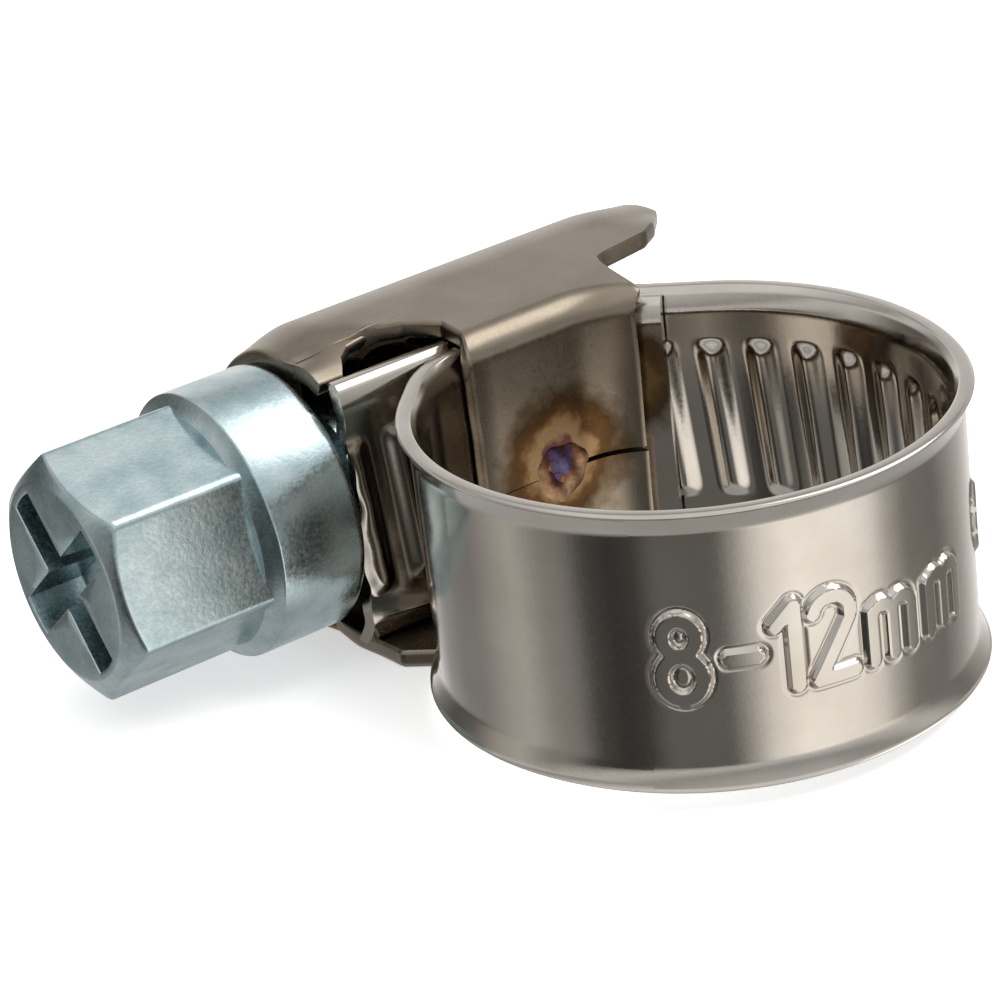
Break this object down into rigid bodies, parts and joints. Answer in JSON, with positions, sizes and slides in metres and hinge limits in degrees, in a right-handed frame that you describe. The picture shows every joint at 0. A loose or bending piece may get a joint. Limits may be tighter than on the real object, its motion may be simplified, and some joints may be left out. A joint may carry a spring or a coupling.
{
  "type": "worm-drive hose clamp",
  "caption": "Small worm-drive hose clamp: solid band with rolled edges and pressed thread, wrapped housing, hexagon-head screw with a cross recess.",
  "frame": {"origin": "on the axis of the hose, at mid width of the band", "axes": "+Z along the hose, +Y from the hose towards the housing, +X from the screw's head towards its tip"},
  "size_m": [0.0202, 0.0217, 0.0086],
  "materials": {
    "housing_steel": "satin rolled stainless sheet",
    "heat_tinted_weld": "fused metal with heat tint",
    "zinc_plated_steel": "bright blue-white zinc plate",
    "band_steel": "bright rolled stainless strip"
  },
  "bodies": {
    "clamp_body": {"housing": "housing_steel", "seam_weld": "heat_tinted_weld", "band_fixed_end": "band_steel"},
    "screw": {"worm_screw": "zinc_plated_steel"},
    "tail": {"band_tail": "band_steel"},
    "mouth_bend": {"band_mouth_bend": "band_steel"},
    "right_side": {"band_right_side": "band_steel"},
    "front": {"band_front": "band_steel"},
    "left_side": {"band_left_side": "band_steel"},
    "left_shoulder": {"band_left_shoulder": "band_steel"}
  },
  "joints": [
    {"name": "screw_spin", "type": "hinge", "parent": "clamp_body", "child": "screw", "pos_m": [-0.013, 0.0104, 0], "axis": [-1, 0, 0], "range_deg": [0, 1080.5]},
    {"name": "tail_slide", "type": "slide", "parent": "clamp_body", "child": "tail", "axis": [1, 0, 0], "range_m": [0, 0.0042]},
    {"name": "mouth_hinge", "type": "hinge", "parent": "tail", "child": "mouth_bend", "pos_m": [0.00087, 0.00746, 0], "axis": [0, 0, 1], "range_deg": [-8.5, 0]},
    {"name": "right_hinge", "type": "hinge", "parent": "mouth_bend", "child": "right_side", "pos_m": [0.00527, 0.00433, 0], "axis": [0, 0, 1], "range_deg": [-3.9, 0]},
    {"name": "front_hinge", "type": "hinge", "parent": "right_side", "child": "front", "pos_m": [0.0059, -0.00383, 0], "axis": [0, 0, 1], "range_deg": [0, 9.23]},
    {"name": "left_hinge", "type": "hinge", "parent": "front", "child": "left_side", "pos_m": [-0.0059, -0.00383, 0], "axis": [0, 0, 1], "range_deg": [0, 17.93]},
    {"name": "shoulder_hinge", "type": "hinge", "parent": "left_side", "child": "left_shoulder", "pos_m": [-0.00719, 0.00054, 0], "axis": [0, 0, 1], "range_deg": [-4.1, 0]}
  ],
  "couplings": [
    {"joint": "screw_spin", "follows": "tail_slide", "rad_per_m": 4488},
    {"joint": "mouth_hinge", "follows": "tail_slide", "rad_per_m": -35.23},
    {"joint": "right_hinge", "follows": "tail_slide", "rad_per_m": -16.158},
    {"joint": "front_hinge", "follows": "tail_slide", "rad_per_m": 38.271},
    {"joint": "left_hinge", "follows": "tail_slide", "rad_per_m": 74.358},
    {"joint": "shoulder_hinge", "follows": "tail_slide", "rad_per_m": -16.979}
  ]
}
